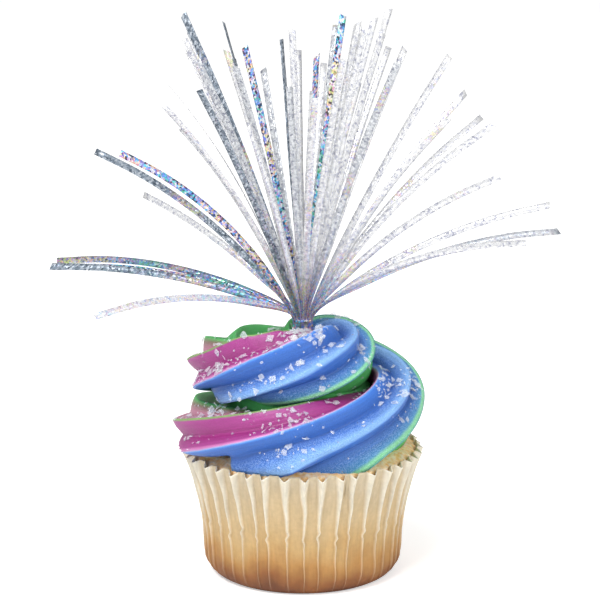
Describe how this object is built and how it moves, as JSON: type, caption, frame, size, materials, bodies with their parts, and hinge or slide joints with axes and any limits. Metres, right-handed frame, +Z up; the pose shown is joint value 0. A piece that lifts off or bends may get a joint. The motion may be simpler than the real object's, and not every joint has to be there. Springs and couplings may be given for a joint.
{
  "type": "frosted cupcake",
  "caption": "Cupcake in a pleated paper case, with a piped swirl of tri-colour frosting and a spray of holographic foil strands standing in the middle of it.",
  "frame": {"origin": "middle of the case's flat foot, where the cupcake stands, on the case's axis", "axes": "+Z up along the case's axis, -Y towards the side shown, +X to its right"},
  "size_m": [0.1558, 0.1271, 0.1691],
  "materials": {
    "case_paper": "translucent greaseproof paper, white at the rim and baked golden brown towards the foot",
    "cake_crumb": "matt golden sponge crumb",
    "frosting": "soft satin buttercream in blue, magenta and green, strewn with clear sugar flakes",
    "holographic_foil": "bright crinkled metallised film with a holographic pattern"
  },
  "bodies": {
    "root": {"paper_case": "case_paper", "cake": "cake_crumb", "frosting": "frosting", "foil_bundle": "holographic_foil", "foil_strand_01": "holographic_foil", "foil_strand_02": "holographic_foil", "foil_strand_03": "holographic_foil", "foil_strand_04": "holographic_foil", "foil_strand_05": "holographic_foil", "foil_strand_06": "holographic_foil", "foil_strand_07": "holographic_foil", "foil_strand_08": "holographic_foil", "foil_strand_09": "holographic_foil", "foil_strand_10": "holographic_foil", "foil_strand_11": "holographic_foil", "foil_strand_12": "holographic_foil", "foil_strand_13": "holographic_foil", "foil_strand_14": "holographic_foil", "foil_strand_15": "holographic_foil", "foil_strand_16": "holographic_foil", "foil_strand_17": "holographic_foil", "foil_strand_18": "holographic_foil", "foil_strand_19": "holographic_foil", "foil_strand_20": "holographic_foil", "foil_strand_21": "holographic_foil", "foil_strand_22": "holographic_foil", "foil_strand_23": "holographic_foil", "foil_strand_24": "holographic_foil", "foil_strand_25": "holographic_foil", "foil_strand_26": "holographic_foil", "foil_strand_27": "holographic_foil", "foil_strand_28": "holographic_foil", "foil_strand_29": "holographic_foil", "foil_strand_30": "holographic_foil", "foil_strand_31": "holographic_foil", "foil_strand_32": "holographic_foil", "foil_strand_33": "holographic_foil", "foil_strand_34": "holographic_foil", "foil_strand_35": "holographic_foil", "foil_strand_36": "holographic_foil", "foil_strand_37": "holographic_foil", "foil_strand_38": "holographic_foil", "foil_strand_39": "holographic_foil", "foil_strand_40": "holographic_foil", "foil_strand_41": "holographic_foil", "foil_strand_42": "holographic_foil", "foil_strand_43": "holographic_foil", "foil_strand_44": "holographic_foil", "foil_strand_45": "holographic_foil", "foil_strand_46": "holographic_foil", "foil_strand_47": "holographic_foil", "foil_strand_48": "holographic_foil", "foil_strand_49": "holographic_foil", "foil_strand_50": "holographic_foil", "foil_strand_51": "holographic_foil", "foil_strand_52": "holographic_foil", "foil_strand_53": "holographic_foil"}
  },
  "joints": []
}
